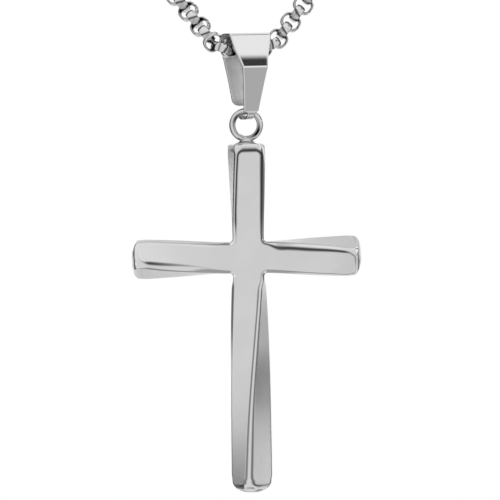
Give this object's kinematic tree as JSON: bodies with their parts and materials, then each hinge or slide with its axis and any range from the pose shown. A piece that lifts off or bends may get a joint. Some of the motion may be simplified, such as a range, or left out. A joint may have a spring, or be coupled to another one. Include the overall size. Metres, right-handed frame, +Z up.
{
  "type": "cross pendant on a neck chain",
  "caption": "Steel cross pendant with twisted square bars, an eye ring and a folded bail, hanging on a closed round box chain necklace.",
  "frame": {"origin": "where the clasp rests on the nape: the front of the clasp barrel, at the middle of its length", "axes": "+Z up as worn, the wearer faces -Y, +X to the wearer's left"},
  "size_m": [0.1376, 0.1338, 0.1747],
  "materials": {
    "cross_steel": "cast stainless steel, buffed to a high polish",
    "bail_steel": "rolled stainless strip, polished",
    "chain_steel": "tumble-polished stainless strip links",
    "clasp_steel": "turned stainless steel, polished"
  },
  "bodies": {
    "neck_chain": {"chain": "chain_steel", "clasp": "clasp_steel"},
    "bail": {"bail": "bail_steel"},
    "cross": {"cross": "cross_steel"}
  },
  "joints": [
    {"name": "bail_swing", "type": "hinge", "parent": "neck_chain", "child": "bail", "pos_m": [0, -0.1255, -0.1145], "axis": [0.866, 0.5, 0], "range_deg": [-90, 90]},
    {"name": "cross_swing", "type": "hinge", "parent": "bail", "child": "cross", "pos_m": [0, -0.1255, -0.1228], "axis": [1, 0, 0], "range_deg": [-30, 30]}
  ]
}
